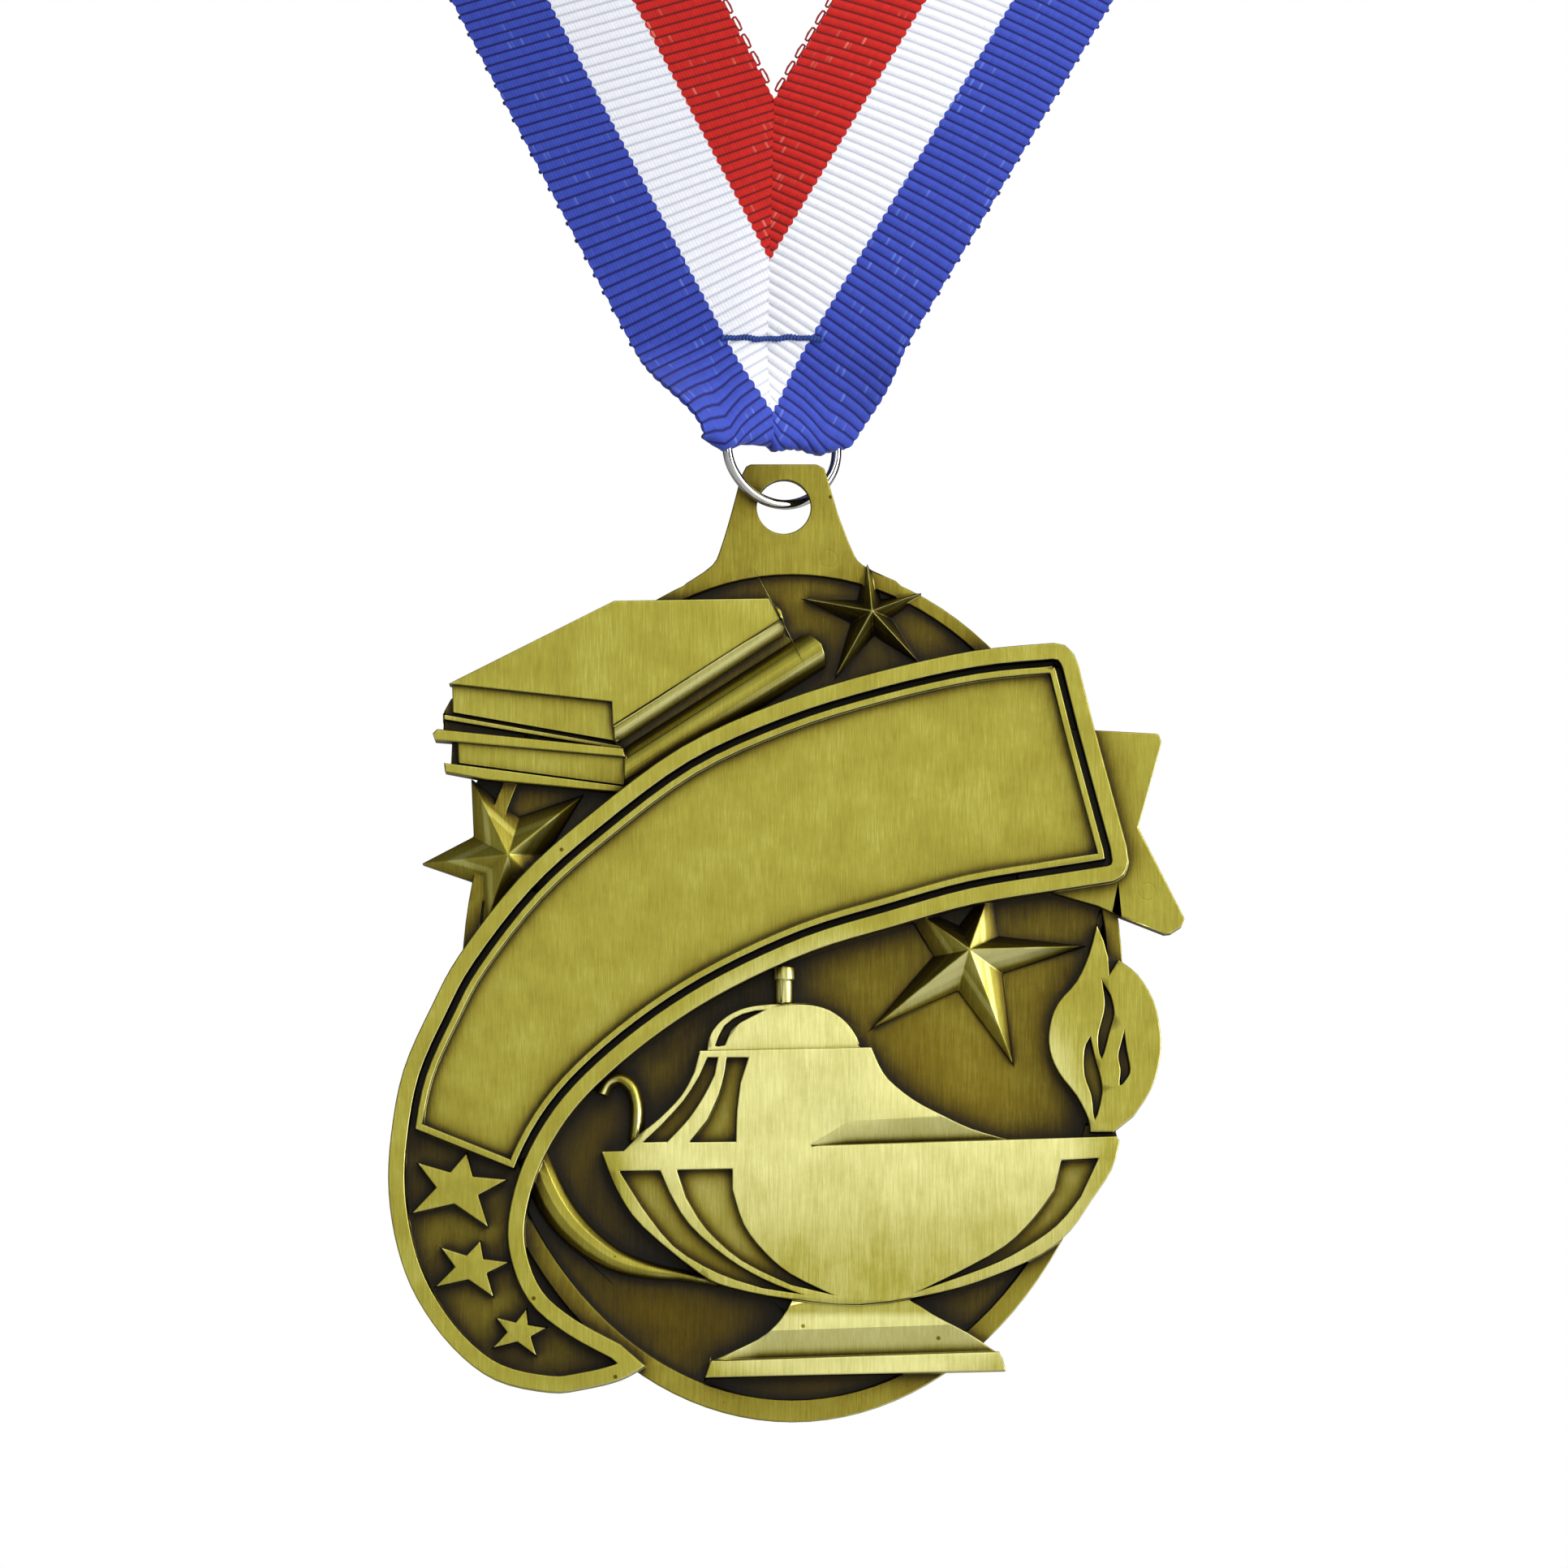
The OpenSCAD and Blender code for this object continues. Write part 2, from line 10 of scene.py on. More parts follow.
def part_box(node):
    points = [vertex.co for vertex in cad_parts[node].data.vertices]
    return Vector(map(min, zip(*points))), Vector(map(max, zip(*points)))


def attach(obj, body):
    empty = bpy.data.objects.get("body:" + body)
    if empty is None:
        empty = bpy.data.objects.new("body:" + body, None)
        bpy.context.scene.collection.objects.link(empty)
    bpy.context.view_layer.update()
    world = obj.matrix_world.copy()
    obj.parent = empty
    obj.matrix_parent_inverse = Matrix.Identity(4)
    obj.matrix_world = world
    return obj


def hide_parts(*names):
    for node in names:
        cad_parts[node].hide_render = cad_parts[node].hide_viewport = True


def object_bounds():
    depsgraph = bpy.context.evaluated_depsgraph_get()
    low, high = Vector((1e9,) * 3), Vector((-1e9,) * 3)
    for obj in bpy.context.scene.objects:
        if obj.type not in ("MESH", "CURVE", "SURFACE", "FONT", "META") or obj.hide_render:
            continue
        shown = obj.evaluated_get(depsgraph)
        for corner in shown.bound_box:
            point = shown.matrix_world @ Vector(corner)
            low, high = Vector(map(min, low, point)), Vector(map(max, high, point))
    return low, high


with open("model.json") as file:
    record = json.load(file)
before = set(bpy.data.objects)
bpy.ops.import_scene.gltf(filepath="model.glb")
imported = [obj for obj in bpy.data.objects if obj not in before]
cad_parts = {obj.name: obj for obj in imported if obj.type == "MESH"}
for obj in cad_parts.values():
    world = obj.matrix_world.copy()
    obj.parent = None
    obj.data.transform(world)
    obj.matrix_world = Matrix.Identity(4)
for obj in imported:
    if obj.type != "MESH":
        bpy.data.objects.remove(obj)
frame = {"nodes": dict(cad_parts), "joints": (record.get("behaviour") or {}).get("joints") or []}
solids_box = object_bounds()
mm = 0.001
hinges = {joint["name"]: Vector(joint["pos_m"]) for joint in frame["joints"]}
bar_at = hinges["ring_swing"]

# Studio. The medal hangs in front of plain white, over a pale floor, lit as a small metal thing is
# in a product picture: a large soft box on the right, a weak one on the left, a broad sheet of
# light round the camera for the flat faces, and a strip overhead for the edges.
picture_w = 139 * mm
camera_far = 1.15
camera_tilt = math.radians(4)
look_at = bar_at + Vector((0.18, -2.6, -31.1)) * mm
floor_r = 6
floor_gap = 0.055

camera = bpy.data.cameras.new("camera")
camera.lens = camera.sensor_width * camera_far / picture_w
camera.clip_start = 0.01
camera_object = bpy.data.objects.new("camera", camera)
camera_object.location = look_at + camera_far * Vector((0, -math.cos(camera_tilt), -math.sin(camera_tilt)))
camera_object.rotation_euler = (look_at - camera_object.location).to_track_quat("-Z", "Y").to_euler()
bpy.context.scene.collection.objects.link(camera_object)
bpy.context.scene.camera = camera_object


def soft_box(name, at, size, power):
    lamp = bpy.data.lights.new(name, "AREA")
    lamp.shape = "RECTANGLE"
    lamp.size, lamp.size_y = size
    lamp.energy = power
    lamp_object = bpy.data.objects.new(name, lamp)
    lamp_object.location = at
    lamp_object.rotation_euler = (look_at - Vector(at)).to_track_quat("-Z", "Y").to_euler()
    bpy.context.scene.collection.objects.link(lamp_object)


soft_box("right_box", at=(0.80, -0.50, -0.15), size=(0.4, 0.9), power=8.8)
soft_box("left_box", at=(-0.95, -0.55, -0.15), size=(0.25, 0.8), power=0.8)
soft_box("front_sheet", at=(0.08, -1.35, 0.15), size=(0.6, 1.2), power=4.9)
soft_box("top_strip", at=(0.25, -0.55, 0.45), size=(0.9, 0.4), power=3.0)


def node(tree, kind, inputs=None, **settings):
    made = tree.nodes.new("ShaderNode" + kind)
    for name, value in settings.items():
        setattr(made, name, value)
    for name, value in (inputs or {}).items():
        socket = made.inputs[name]
        if isinstance(value, bpy.types.NodeSocket):
            tree.links.new(value, socket)
        else:
            socket.default_value = value
    return made


def between(tree, value, low, high, to_low=0.0, to_high=1.0, ease="SMOOTHSTEP"):
    ends = {"Value": value, "From Min": low, "From Max": high, "To Min": to_low, "To Max": to_high}
    return node(tree, "MapRange", ends, interpolation_type=ease).outputs[0]


def stops(tree, value, *tones):
    ramp = node(tree, "ValToRGB", {"Fac": value})
    band = ramp.color_ramp
    while len(band.elements) < len(tones):
        band.elements.new(1)
    for element, (position, colour) in zip(band.elements, tones):
        element.position = position
        element.color = (*colour, 1)
    return ramp.outputs["Color"]


def finish_named(name, **values):
    made = bpy.data.materials.new(name)
    made.use_nodes = True
    shader = made.node_tree.nodes["Principled BSDF"]
    for socket, value in values.items():
        shader.inputs[socket.replace("_", " ")].default_value = value
    return made, made.node_tree, shader


bpy.ops.object.select_all(action="DESELECT")
bpy.ops.mesh.primitive_circle_add(vertices=96, radius=floor_r, fill_type="NGON",
                                  location=(0, 0, solids_box[0][2] - floor_gap))
floor = bpy.context.object
floor.name = "floor"
floor.data.materials.append(finish_named("pale_floor", Base_Color=(0.86, 0.86, 0.86, 1), Roughness=0.85)[0])

world = bpy.data.worlds.new("studio")
bpy.context.scene.world = world
world.use_nodes = True
sky = world.node_tree
facing = node(sky, "SeparateXYZ", {0: node(sky, "TexCoord").outputs["Generated"]}).outputs["Y"]
wall_tone = stops(sky, between(sky, facing, -1, 1, ease="LINEAR"), (0.1, (0.16, 0.17, 0.19)),
                  (0.4, (0.015, 0.015, 0.015)), (0.8, (0.06, 0.06, 0.06)))
room = sky.nodes["Background"]
sky.links.new(wall_tone, room.inputs["Color"])
backdrop = node(sky, "Background", {"Color": (1, 1, 1, 1)})
seen = node(sky, "LightPath").outputs["Is Camera Ray"]
either = node(sky, "MixShader", {0: seen, 1: room.outputs[0], 2: backdrop.outputs[0]})
sky.links.new(either.outputs[0], sky.nodes["World Output"].inputs["Surface"])
bpy.context.scene.view_settings.view_transform = "Standard"

# The medal is one zinc casting, plated antique gold: dark stain lies in the recesses, and the raised
# faces are brushed bright again. Painted highlights lighten the lamp and the faces turned to the lower
# right, and add to the edges' rubbed brightness. Its edges are softened by the mould and the brush, so
# a copy of the casting gets a fine round along them. Heights in its finish are millimetres above its back.
edge_round = 0.12 * mm
sharp_edge = math.radians(28)
smooth_up_to = math.radians(24)
back_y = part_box("medallion")[1].y
relief_top = 5
lamp_middle = bar_at + Vector((7, 4.5, -65.5)) * mm
foot_top = bar_at.z - 77.5 * mm
# Raised faces turned this way, to the right, the front and down, get a painted highlight.
painted_light_side = Vector((0.62, -0.55, -0.56))
clean_stain = 0.30
gold_tones = [(0, (0.78, 0.75, 0.32)), (0.28, (0.37, 0.335, 0.052)), (0.52, (0.17, 0.118, 0.010)),
              (0.78, (0.045, 0.030, 0.005)), (1, (0.010, 0.007, 0.002))]
pin_marks = [(4.1 * mm, -10.9 * mm), (32.4 * mm, -40.6 * mm)]
pin_r = 0.75 * mm
pin_line = 0.14 * mm

antique_gold, gold, gold_shader = finish_named("antique_gold")


def arithmetic(tree, operation, *values, clamp=False):
    return node(tree, "Math", dict(enumerate(values)), operation=operation, use_clamp=clamp).outputs[0]


def shade_within(distance, inside=False):
    return node(gold, "AmbientOcclusion", {"Distance": distance}, samples=6, inside=inside).outputs["AO"]


def noise(tree, vector, scale, **values):
    return node(tree, "TexNoise", {"Vector": vector, "Scale": scale, **values}).outputs[0]


def compared(first, second, operation):
    return node(gold, "VectorMath", {0: first, 1: second}, operation=operation).outputs["Value"]


metal = node(gold, "TexCoord").outputs
metal_at = metal["Object"]
metal_x, metal_y, metal_z = node(gold, "SeparateXYZ", {0: metal_at}).outputs
height = between(gold, metal_y, back_y - relief_top * mm, back_y, relief_top, 0, "LINEAR")
patch = noise(gold, metal_at, 240, Detail=4, Roughness=0.6)
streak_at = node(gold, "Mapping", {"Vector": metal_at, "Scale": (9000, 1200, 420)}).outputs[0]
streak = noise(gold, streak_at, 1, Detail=4, Roughness=0.65)
grain = noise(gold, metal_at, 2600, Detail=2)

# Painted highlight on the lamp, where a domed body would catch the light: strongest on its body, less so at
# the bottom of its bowl, and again on its foot.
near_lamp = between(gold, compared(metal_at, lamp_middle, "DISTANCE"), 24 * mm, 19 * mm)
lamp_highlight = arithmetic(gold, "MULTIPLY", near_lamp, between(gold, height, 3.1, 3.6))
bowl_highlight_fade = between(gold, metal_z, foot_top, foot_top + 15 * mm, 0.2, 1)
foot_part = between(gold, metal_z, foot_top, foot_top - mm)
lamp_highlight = arithmetic(gold, "MULTIPLY", lamp_highlight, arithmetic(gold, "MAXIMUM", bowl_highlight_fade, foot_part))
slot_floor = arithmetic(gold, "MULTIPLY", between(gold, height, 2.55, 2.7), between(gold, height, 3.05, 2.9))
# Painted highlight: raised faces that turn to the lower right are made lighter, as the light from the right
# falls on them.
facing_light = compared(metal["Normal"], painted_light_side, "DOT_PRODUCT")
lit_side_highlight = arithmetic(gold, "MULTIPLY", between(gold, facing_light, 0.68, 0.9), between(gold, height, 1.9, 2.3))

# The plate's own face is darkest at the lower left, and small pits are strewn over the whole casting.
left_part = between(gold, metal_x, bar_at.x + 9 * mm, bar_at.x - 9 * mm)
low_part = between(gold, metal_z, bar_at.z - 52 * mm, bar_at.z - 72 * mm)
plate_face = arithmetic(gold, "MULTIPLY", between(gold, height, 2.4, 1.8), between(gold, height, 0.5, 1))
low_left = arithmetic(gold, "MULTIPLY", arithmetic(gold, "MULTIPLY", left_part, low_part), plate_face)
dots = node(gold, "TexVoronoi", {"Vector": metal_at, "Scale": 420}).outputs
dot_chance = node(gold, "SeparateColor", {0: dots["Color"]}).outputs[0]
pit = arithmetic(gold, "MULTIPLY", between(gold, dots["Distance"], 0.10, 0.05),
                 between(gold, dot_chance, 0.90, 0.93))

stain = clean_stain
for mask, amount in [
    (between(gold, shade_within(0.9 * mm), 0.93, 0.3), 0.40),
    (between(gold, shade_within(8 * mm), 0.97, 0.45), 0.55),
    (between(gold, height, 3.3, 1.7), 0.12),
    # painted highlight on the lamp
    (lamp_highlight, -0.21),
    (slot_floor, -0.16),
    # painted highlight on raised faces turned to the lower right
    (lit_side_highlight, -0.36),
    (low_left, 0.2),
    (pit, 0.35),
    # Convex edges are lightened: rubbed bright by wear, and in part a painted highlight along them.
    (between(gold, shade_within(0.3 * mm, inside=True), 0.75, 0.35), -0.22),
]:
    stain = arithmetic(gold, "MULTIPLY_ADD", mask, amount, stain)
stain = arithmetic(gold, "ADD", stain, between(gold, patch, 0.3, 0.75, -0.03, 0.04))
stain = arithmetic(gold, "ADD", stain, between(gold, streak, 0.3, 0.7, -0.035, 0.035), clamp=True)
rough = arithmetic(gold, "MULTIPLY_ADD", stain, 0.15, 0.30)
gold.links.new(stops(gold, stain, *gold_tones), gold_shader.inputs["Base Color"])
gold.links.new(between(gold, stain, 0.6, 1, 1, 0.6), gold_shader.inputs["Metallic"])
gold.links.new(arithmetic(gold, "MULTIPLY_ADD", streak, 0.14, rough), gold_shader.inputs["Roughness"])

# The mould's pins left a fine round mark on the tab and on the banner's end.
relief = arithmetic(gold, "MULTIPLY_ADD", grain, 0.35, streak)
relief = arithmetic(gold, "MULTIPLY_ADD", pit, -1.5, relief)
front_place = node(gold, "Mapping", {"Vector": metal_at, "Scale": (1, 0, 1)}).outputs[0]
for mark_x, mark_z in pin_marks:
    mark_at = Vector((bar_at.x + mark_x, 0, bar_at.z + mark_z))
    line_off = arithmetic(gold, "SUBTRACT", compared(front_place, mark_at, "DISTANCE"), pin_r)
    mark_line = between(gold, arithmetic(gold, "ABSOLUTE", line_off), pin_line, 0)
    relief = arithmetic(gold, "MULTIPLY_ADD", mark_line, -1.3, relief)
metal_bump = node(gold, "Bump", {"Height": relief, "Distance": 0.014 * mm, "Strength": 0.4})
gold.links.new(metal_bump.outputs[0], gold_shader.inputs["Normal"])

bpy.ops.object.select_all(action="DESELECT")
casting = frame["nodes"]["medallion"].copy()
casting.data = casting.data.copy()
casting.name = "cast_medal"
casting.parent = None
bpy.context.scene.collection.objects.link(casting)
bpy.context.view_layer.objects.active = casting
casting.select_set(True)
bpy.ops.object.mode_set(mode="EDIT")
bpy.ops.mesh.select_all(action="SELECT")
bpy.ops.mesh.remove_doubles(threshold=0.03 * mm)
bpy.ops.object.mode_set(mode="OBJECT")
bpy.ops.object.shade_smooth_by_angle(angle=smooth_up_to)
rounding = casting.modifiers.new("rounding", "BEVEL")
rounding.width = edge_round
rounding.segments = 2
rounding.limit_method = "ANGLE"
rounding.angle_limit = sharp_edge
rounding.use_clamp_overlap = False
rounding.harden_normals = True
bpy.ops.object.modifier_apply(modifier="rounding")
levelling = casting.modifiers.new("levelling", "WEIGHTED_NORMAL")
levelling.weight = 60
levelling.keep_sharp = True
bpy.ops.object.modifier_apply(modifier="levelling")
casting.data.materials.clear()
casting.data.materials.append(antique_gold)
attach(casting, "medallion")
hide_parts("medallion")

# Two thin webs of the same casting close the slivers between the lobe and the rim, and between the
# books, the left star and the rim. Metal runs into such narrow gaps of the mould. They are flush
# with the back, and lie behind the face of the plate.
medal_at = bar_at + Vector((0.9, 0, -49.4)) * mm
web_t = 1.1 * mm
web_inset = 0.02 * mm
web_outlines = {
    "lobe_web": [(-24.2, -22), (-22.6, -22), (-17.6, -29.4), (-18.6, -30.4), (-23.4, -27)],
    "star_web": [(-28.1, 18.6), (-27.6, 19.5), (-25, 19.5), (-25.2, 16.2), (-26.4, 16.6)],
}
for name, outline in web_outlines.items():
    bpy.ops.object.select_all(action="DESELECT")
    bpy.ops.mesh.primitive_circle_add(vertices=len(outline), radius=mm, fill_type="NGON")
    web = bpy.context.object
    web.name = name
    for vertex, (x, z) in zip(web.data.vertices, outline):
        vertex.co = medal_at + Vector((x, 0, z)) * mm
        vertex.co.y = back_y - web_inset
    bpy.ops.object.mode_set(mode="EDIT")
    bpy.ops.mesh.select_all(action="SELECT")
    bpy.ops.mesh.extrude_region_move(TRANSFORM_OT_translate={"value": (0, -web_t, 0)})
    bpy.ops.mesh.select_all(action="SELECT")
    bpy.ops.mesh.normals_make_consistent(inside=False)
    bpy.ops.object.mode_set(mode="OBJECT")
    web.data.materials.append(antique_gold)
    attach(web, "medallion")

# The ring is one length of nickel-plated wire, bent to a D: a straight bar that lies in the fold of
# the ribbon, and a curve of arcs that passes through the hole in the medal's tab. It is polished.
wire_r = 0.44 * mm
ring_half = 5.93 * mm
corner_r = 0.8 * mm
side_r = 4 * mm
side_drop = 1 * mm
ring_depth = 6 * mm
ring_turn = math.radians(35)
side_reach = ring_half - side_r
bottom_rise = ring_depth - side_drop
bottom_shift = (side_reach**2 - (bottom_rise - side_r) ** 2) / (2 * (bottom_rise - side_r))
side_sweep = math.atan2(bottom_shift, side_reach)
bar_run = 2 * (ring_half - corner_r)
side_run = side_drop - corner_r

bpy.ops.object.select_all(action="DESELECT")
bpy.ops.mesh.primitive_circle_add(vertices=20, radius=wire_r, location=(corner_r - ring_half, 0, 0),
                                  rotation=(0, math.pi / 2, 0))
ring = bpy.context.object
ring.name = "d_ring"
bpy.ops.object.transform_apply(location=True, rotation=True, scale=True)
bpy.ops.object.mode_set(mode="EDIT")
for straight, centre_x, centre_z, sweep, steps in [
    ((bar_run, 0, 0), ring_half - corner_r, -corner_r, math.pi / 2, 8),
    ((0, 0, -side_run), side_reach, -side_drop, side_sweep, 10),
    (None, 0, bottom_shift - side_drop, math.pi - 2 * side_sweep, 36),
    (None, -side_reach, -side_drop, side_sweep, 10),
    ((0, 0, side_run), corner_r - ring_half, -corner_r, math.pi / 2, 8),
]:
    if straight:
        bpy.ops.mesh.extrude_region_move(TRANSFORM_OT_translate={"value": straight})
    bpy.ops.mesh.spin(steps=steps, angle=-sweep, center=(centre_x, 0, centre_z), axis=(0, 1, 0))
bpy.ops.mesh.select_all(action="SELECT")
bpy.ops.mesh.remove_doubles(threshold=0.01 * mm)
bpy.ops.mesh.normals_make_consistent(inside=False)
bpy.ops.object.mode_set(mode="OBJECT")
ring.data.transform(Matrix.Translation(bar_at) @ Matrix.Rotation(ring_turn, 4, "Z"))
bpy.ops.object.shade_smooth()

bright_nickel, nickel, nickel_shader = finish_named("bright_nickel", Metallic=1)
haze = noise(nickel, node(nickel, "TexCoord").outputs["Object"], 900, Detail=3)
nickel_tone = stops(nickel, haze, (0.3, (0.50, 0.49, 0.47)), (0.8, (0.66, 0.66, 0.65)))
nickel.links.new(nickel_tone, nickel_shader.inputs["Base Color"])
nickel.links.new(between(nickel, haze, 0.3, 0.8, 0.05, 0.14), nickel_shader.inputs["Roughness"])
ring.data.materials.append(bright_nickel)
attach(ring, "ring")
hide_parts("ring")

# The ribbon is one loop of ribbed polyester, woven in three stripes. Its ends are mitred into a V,
# and the point of the V is folded up behind the ring's bar. It lies on a cone, as on a wearer.
ribbon_w = 21.4 * mm
ribbon_length = 813 * mm
layer_t = 0.44 * mm
wall_t = 1 * mm
leg_angle = math.radians(29.15)
lean = math.radians(1.6)
mitre = math.pi / 2 - leg_angle
cone_angle = math.asin(mitre / math.pi)
nape_reach = ribbon_length / 2 / math.tan(mitre)
nape_at = Vector((0, nape_reach * math.sin(2 * cone_angle), -nape_reach * math.cos(2 * cone_angle)))
nape_face = Vector((0, math.cos(2 * cone_angle), math.sin(2 * cone_angle))) * wall_t / 2


def eased(value, low, high):
    share = min(1, max(0, (value - low) / (high - low)))
    return share * share * (3 - 2 * share)


def on_cone(along, reach_across):
    """A point of the flat ribbon, by its way from the nape and its distance from the cone's tip line."""
    reach = math.hypot(along, reach_across)
    turn = math.atan2(along, reach_across) / math.sin(cone_angle)
    x = math.sin(turn) * math.sin(cone_angle) * reach
    y = math.cos(turn) * math.sin(cone_angle) * reach
    z = -math.cos(cone_angle) * reach
    sunk = Vector((x, y * math.cos(cone_angle) - z * math.sin(cone_angle),
                   y * math.sin(cone_angle) + z * math.cos(cone_angle)))
    return Matrix.Rotation(lean, 3, "Y") @ (sunk + nape_face - nape_at)


stitch_up = 8.83 * mm
free_up = 22 * mm
fold_r = 0.68 * mm
layer_gap = layer_t * 0.57
seam_off = 1.54 * mm
tip_off = 4.7 * mm
tip_w = 1.1 * mm
left_tip_drop = 0.75 * mm
right_tip_drop = 0.4 * mm
corner_lift = 0.4 * mm
right_spread = 0.16
right_drop = 0.2 * mm
seam_drop = 0.4 * mm
seam_w = 1.4 * mm


def folded(point):
    """The point of the V turns to the bar, rounds it below, and rises again behind the front layer."""
    high = point.z - bar_at.z
    if high > free_up:
        return point
    side = point.x - (bar_at.x - seam_off + high * math.tan(lean))
    half_round = math.pi * fold_r
    level = high if high >= 0 else max(0, -high - half_round)
    near = 1 - eased(level, 0, stitch_up)
    gap = layer_gap + (fold_r - layer_gap) * near
    if high >= 0:
        ahead = (point.y - bar_at.y) * (1 - near) - gap * (1 - eased(high, stitch_up, free_up))
    elif -high < half_round:
        ahead = -fold_r * math.cos(-high / fold_r)
        level = -fold_r * math.sin(-high / fold_r)
    else:
        ahead = gap
    tip = math.exp(-((abs(side) - tip_off) / tip_w) ** 2)
    droop = (left_tip_drop if side < 0 else right_tip_drop) * tip
    droop -= corner_lift * eased(abs(side), 5 * mm, 8 * mm)
    swing = point.x - bar_at.x
    if side > 0:
        swing += right_spread * side * near
        droop += right_drop + seam_drop * math.exp(-(side / seam_w) ** 2)
    turned = ring_turn * near
    return Vector((bar_at.x + swing * math.cos(turned) - ahead * math.sin(turned),
                   bar_at.y + swing * math.sin(turned) + ahead * math.cos(turned),
                   bar_at.z + level - droop * near))


# The ribs run across the ribbon, a little skewed and bowed by the loom's tension, and other than
# level on each leg. Both long edges are scalloped by them. The two legs are sewn along the mitre.
rib_pitch = 0.88 * mm
rib_height = 0.16
rib_skew = {-1: 0.22, 1: 0.165}
rib_bow = {-1: 0, 1: 0.115}
low_skew = -0.08
scallop = 0.10 * mm
seam_sink = 0.16 * mm
rows_a_rib = 4
columns = 9
mitre_tries = 8
inner_reach = nape_reach - ribbon_w / 2
slope = math.tan(mitre)
mitre_end = (nape_reach + ribbon_w / 2) * slope
row_count = int(mitre_end / rib_pitch * rows_a_rib) + rows_a_rib


def slip(across, leg, low, front):
    """How far a rib runs ahead of its middle."""
    off = 0.5 - across / ribbon_w
    skew = rib_skew[leg] + (low_skew - rib_skew[leg]) * low
    return ribbon_w * front * (skew * off + rib_bow[leg] * (off * off - 0.25))


ribbon_mesh = bmesh.new()
weave_place = ribbon_mesh.loops.layers.uv.new("weave")
thick = ribbon_mesh.verts.layers.deform.verify()
rows = []
for row in range(-row_count, row_count + 1):
    leg = -1 if row < 0 else 1
    middle = abs(row) * rib_pitch / rows_a_rib
    low = 1 - eased(mitre_end - middle, 12 * mm, 48 * mm)
    front = eased(middle, 60 * mm, 250 * mm)
    start = 0
    for _ in range(mitre_tries):
        start = max(0, (middle + slip(start, leg, low, front)) / slope - inner_reach)
    if start >= ribbon_w * 0.999:
        continue
    crest = abs(math.sin(math.pi * row / rows_a_rib)) ** 0.6
    line = []
    for column in range(columns):
        share = start / ribbon_w + (1 - start / ribbon_w) * column / (columns - 1)
        across = share * ribbon_w
        if column == columns - 1 or (column == 0 and start == 0):
            across += scallop * (crest - 0.5) * (1 if column else -1)
        point = folded(on_cone(leg * (middle + slip(across, leg, low, front)), inner_reach + across))
        if column == 0 and start > 0:
            point.y += seam_sink
        vertex = ribbon_mesh.verts.new(point)
        vertex[thick][0] = 1 - rib_height * 2 * (1 - crest)
        line.append((vertex, (row / rows_a_rib, share)))
    rows.append(line)
for first, second in zip(rows, rows[1:]):
    for column in range(columns - 1):
        corners = [first[column], first[column + 1], second[column + 1], second[column]]
        face = ribbon_mesh.faces.new([vertex for vertex, woven_at in corners])
        for loop, (vertex, woven_at) in zip(face.loops, corners):
            loop[weave_place].uv = woven_at
ribbon_data = bpy.data.meshes.new("neck_ribbon")
ribbon_mesh.to_mesh(ribbon_data)
ribbon_mesh.free()
ribbon = bpy.data.objects.new("neck_ribbon", ribbon_data)
bpy.context.scene.collection.objects.link(ribbon)
ribbon.vertex_groups.new(name="rib")
bpy.ops.object.select_all(action="DESELECT")
bpy.context.view_layer.objects.active = ribbon
ribbon.select_set(True)
layer = ribbon.modifiers.new("layer", "SOLIDIFY")
layer.thickness = layer_t
layer.offset = 0
layer.vertex_group = "rib"
bpy.ops.object.modifier_apply(modifier="layer")
bpy.ops.object.shade_smooth_by_angle(angle=math.radians(60))

# The stripes are red inside, white, and blue outside. Each rib is a bundle of warp threads over a
# thick weft: a painted glint lightens a thread here and there, and painted shade darkens the grooves.
thread_count = 74
red_to = 0.322
white_to = 0.647
stripe_edge = 0.010
striped_ribbon, weave, weave_shader = finish_named("striped_ribbon", Roughness=0.78, Sheen_Weight=0.25,
                                                   Sheen_Roughness=0.4, Specular_IOR_Level=0.3)
weave_at = node(weave, "UVMap", uv_map="weave").outputs[0]
weave_along, weave_across = node(weave, "SeparateXYZ", {0: weave_at}).outputs[:2]


def humps(way, a_step=1):
    """Round humps along the way, so many to each step of it."""
    phase = arithmetic(weave, "MULTIPLY", way, a_step * math.pi)
    return arithmetic(weave, "ABSOLUTE", arithmetic(weave, "SINE", phase))


def colour_mix(tree, amount, first, second):
    mixer = node(tree, "Mix", data_type="RGBA")
    for socket, value in ((mixer.inputs[0], amount), (mixer.inputs[6], first), (mixer.inputs[7], second)):
        if isinstance(value, bpy.types.NodeSocket):
            tree.links.new(value, socket)
        else:
            socket.default_value = value
    return mixer.outputs[2]


def past(edge, bulge):
    """Whether a point lies past the edge of a stripe, which bulges with every rib."""
    bulged = arithmetic(weave, "MULTIPLY_ADD", rib, bulge, weave_across)
    return arithmetic(weave, "GREATER_THAN", bulged, edge)


rib = humps(weave_along)
thread = humps(weave_across, thread_count)
# Painted shade darkens the grooves between the ribs.
groove_shade = between(weave, rib, 0.62, 0.12)
thread_at = node(weave, "Mapping", {"Vector": weave_at, "Scale": (1, thread_count, 1)}).outputs[0]
thread_cell = node(weave, "VectorMath", {0: thread_at}, operation="FLOOR").outputs[0]
chance = node(weave, "TexWhiteNoise", {"Vector": thread_cell}, noise_dimensions="3D").outputs[0]
# Painted highlights: a glint on the crest of a thread here and there, in patches.
glint_patch = noise(weave, node(weave, "TexCoord").outputs["Object"], 220, Detail=2)
glint = arithmetic(weave, "MULTIPLY", between(weave, chance, 0.86, 0.99, 0, 0.8),
                   between(weave, glint_patch, 0.45, 0.62))


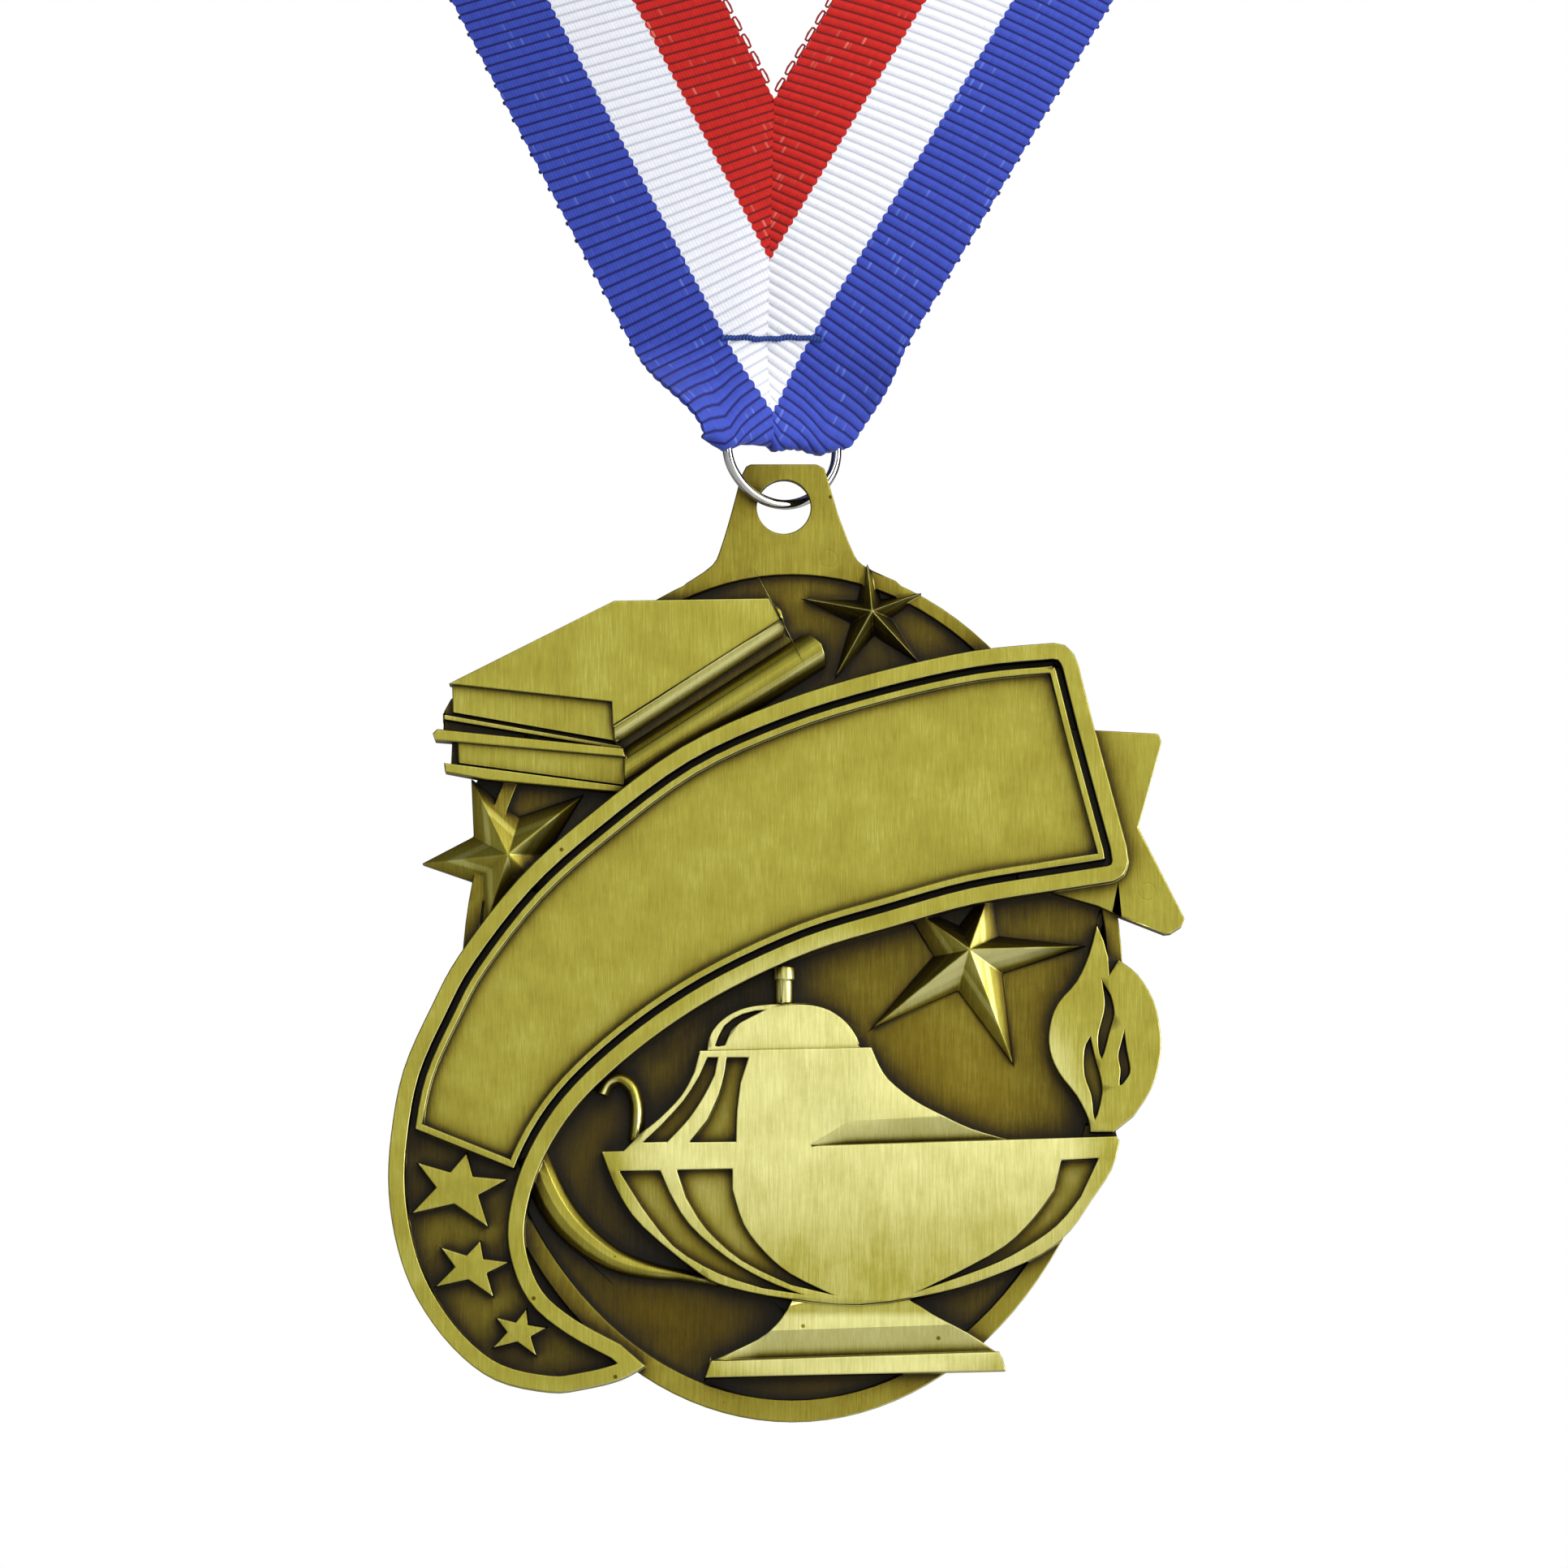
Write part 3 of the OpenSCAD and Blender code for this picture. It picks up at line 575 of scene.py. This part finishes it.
def yarn(light, dark, glint_tone, groove_shade_tone):
    body = colour_mix(weave, between(weave, chance, 0, 1, 0, 0.5, "LINEAR"), (*light, 1), (*dark, 1))
    body = colour_mix(weave, arithmetic(weave, "MULTIPLY", glint, thread), body, (*glint_tone, 1))
    return colour_mix(weave, groove_shade, body, (*groove_shade_tone, 1))


# Each yarn by its two tones, the colour of its painted glint, and the painted shade of its grooves.
red = yarn((0.56, 0.010, 0.005), (0.42, 0.006, 0.004), (0.80, 0.20, 0.14), (0.15, 0.002, 0.003))
white = yarn((0.84, 0.85, 0.90), (0.80, 0.81, 0.86), (0.92, 0.92, 0.95), (0.56, 0.58, 0.66))
blue = yarn((0.036, 0.066, 0.44), (0.026, 0.046, 0.34), (0.12, 0.20, 0.66), (0.005, 0.008, 0.12))
red_white = colour_mix(weave, past(red_to, -stripe_edge), red, white)
stripes = colour_mix(weave, past(white_to, stripe_edge), red_white, blue)
weave.links.new(stripes, weave_shader.inputs["Base Color"])
surface = arithmetic(weave, "MULTIPLY_ADD", thread, 0.18, rib)
cloth_bump = node(weave, "Bump", {"Height": surface, "Distance": 0.10 * mm, "Strength": 0.55})
weave.links.new(cloth_bump.outputs[0], weave_shader.inputs["Normal"])
ribbon.data.materials.append(striped_ribbon)
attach(ribbon, "ribbon")
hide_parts("ribbon")

# Each edge of the ribbon is knitted off in small loops of the stripe's own yarn, one to two ribs:
# open ones that stand out along the red edge, and tight ones along the blue.
loop_thread_r = 0.10 * mm
ribs_a_loop = 2


def thread_paint(name, colour, shade):
    made, tree, shader = finish_named(name, Roughness=0.6)
    fibre = noise(tree, node(tree, "TexCoord").outputs["Object"], 5000)
    thread_bump = node(tree, "Bump", {"Height": fibre, "Distance": 0.03 * mm})
    tree.links.new(stops(tree, fibre, (0.35, shade), (0.65, colour)), shader.inputs["Base Color"])
    tree.links.new(thread_bump.outputs[0], shader.inputs["Normal"])
    return made


def copy_of(model, *moves):
    copy = model.copy()
    copy.data = model.data.copy()
    for move in moves:
        copy.data.transform(move)
    bpy.context.scene.collection.objects.link(copy)
    return copy


def sewn_on(copies, name, paint):
    """The copies as one piece, which rides with the ribbon."""
    bpy.ops.object.select_all(action="DESELECT")
    for copy in copies:
        copy.select_set(True)
    bpy.context.view_layer.objects.active = copies[0]
    bpy.ops.object.join()
    piece = bpy.context.object
    piece.name = name
    bpy.ops.object.shade_smooth()
    piece.data.materials.append(paint)
    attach(piece, "ribbon")
    return piece


def edge_loops(name, loop_length, loop_w, edge_reach, run, paint):
    """Copies of one loop along an edge of the ribbon."""
    bpy.ops.object.select_all(action="DESELECT")
    bpy.ops.mesh.primitive_torus_add(major_segments=8, minor_segments=4,
                                     major_radius=loop_w / 2 - loop_thread_r, minor_radius=loop_thread_r)
    model = bpy.context.object
    stretch = (loop_length - loop_w) / 2
    for vertex in model.data.vertices:
        if abs(vertex.co.x) > loop_thread_r / 2:
            vertex.co.x += math.copysign(stretch, vertex.co.x)
    copies = []
    ribs = int(run / rib_pitch)
    for step in range(-ribs // ribs_a_loop, ribs // ribs_a_loop + 1):
        along = (ribs_a_loop * step + 0.5) * rib_pitch
        if abs(along) > run:
            continue
        middle = folded(on_cone(along, edge_reach))
        ahead = (folded(on_cone(along + mm / 2, edge_reach)) - middle).normalized()
        outer = (folded(on_cone(along, edge_reach + mm / 2)) - middle).normalized()
        face = ahead.cross(outer).normalized()
        turned = Matrix((ahead, face.cross(ahead), face)).transposed().to_4x4()
        copies.append(copy_of(model, turned, Matrix.Translation(middle)))
    bpy.data.objects.remove(model)
    return sewn_on(copies, name, paint)


red_yarn = thread_paint("red_yarn", (0.42, 0.007, 0.006), (0.22, 0.003, 0.004))
blue_yarn = thread_paint("blue_yarn", (0.010, 0.018, 0.20), (0.004, 0.006, 0.08))
red_loops = edge_loops("red_edge_loops", 1.5 * mm, 0.62 * mm, inner_reach - 0.24 * mm,
                       inner_reach * slope - mm, red_yarn)
blue_loops = edge_loops("blue_edge_loops", 0.42 * mm, 0.36 * mm, inner_reach + ribbon_w + 0.06 * mm,
                        mitre_end - 24 * mm, blue_yarn)

# A bar-tack of satin stitches in dark blue polyester thread, sewn by machine through both layers,
# ties the front of the V to the point that is folded up behind it.
stitch_from = -5.25 * mm
stitch_to = 3.5 * mm
stitch_count = 30
stitch_face = bar_at.y - layer_gap - layer_t / 2 - 0.02 * mm
stitch_size = Matrix.Diagonal((0.20, 0.15, 0.31, 1))
stitch_thread = thread_paint("stitch_thread", (0.004, 0.050, 0.30), (0.002, 0.018, 0.13))
bpy.ops.object.select_all(action="DESELECT")
bpy.ops.mesh.primitive_uv_sphere_add(segments=8, ring_count=6, radius=mm)
one_stitch = bpy.context.object
stitches = []
for step in range(stitch_count):
    share = step / (stitch_count - 1)
    wave = 0.07 * mm * math.sin(share * 11) + 0.05 * mm * math.sin(share * 29 + 1)
    tilt = Matrix.Rotation(0.55 + 0.25 * math.sin(share * 17), 4, "Y")
    stitch_at = Vector((bar_at.x + stitch_from + (stitch_to - stitch_from) * share,
                        stitch_face, bar_at.z + stitch_up + wave))
    stitches.append(copy_of(one_stitch, stitch_size, tilt, Matrix.Translation(stitch_at)))
bpy.data.objects.remove(one_stitch)
bar_tack = sewn_on(stitches, "bar_tack", stitch_thread)
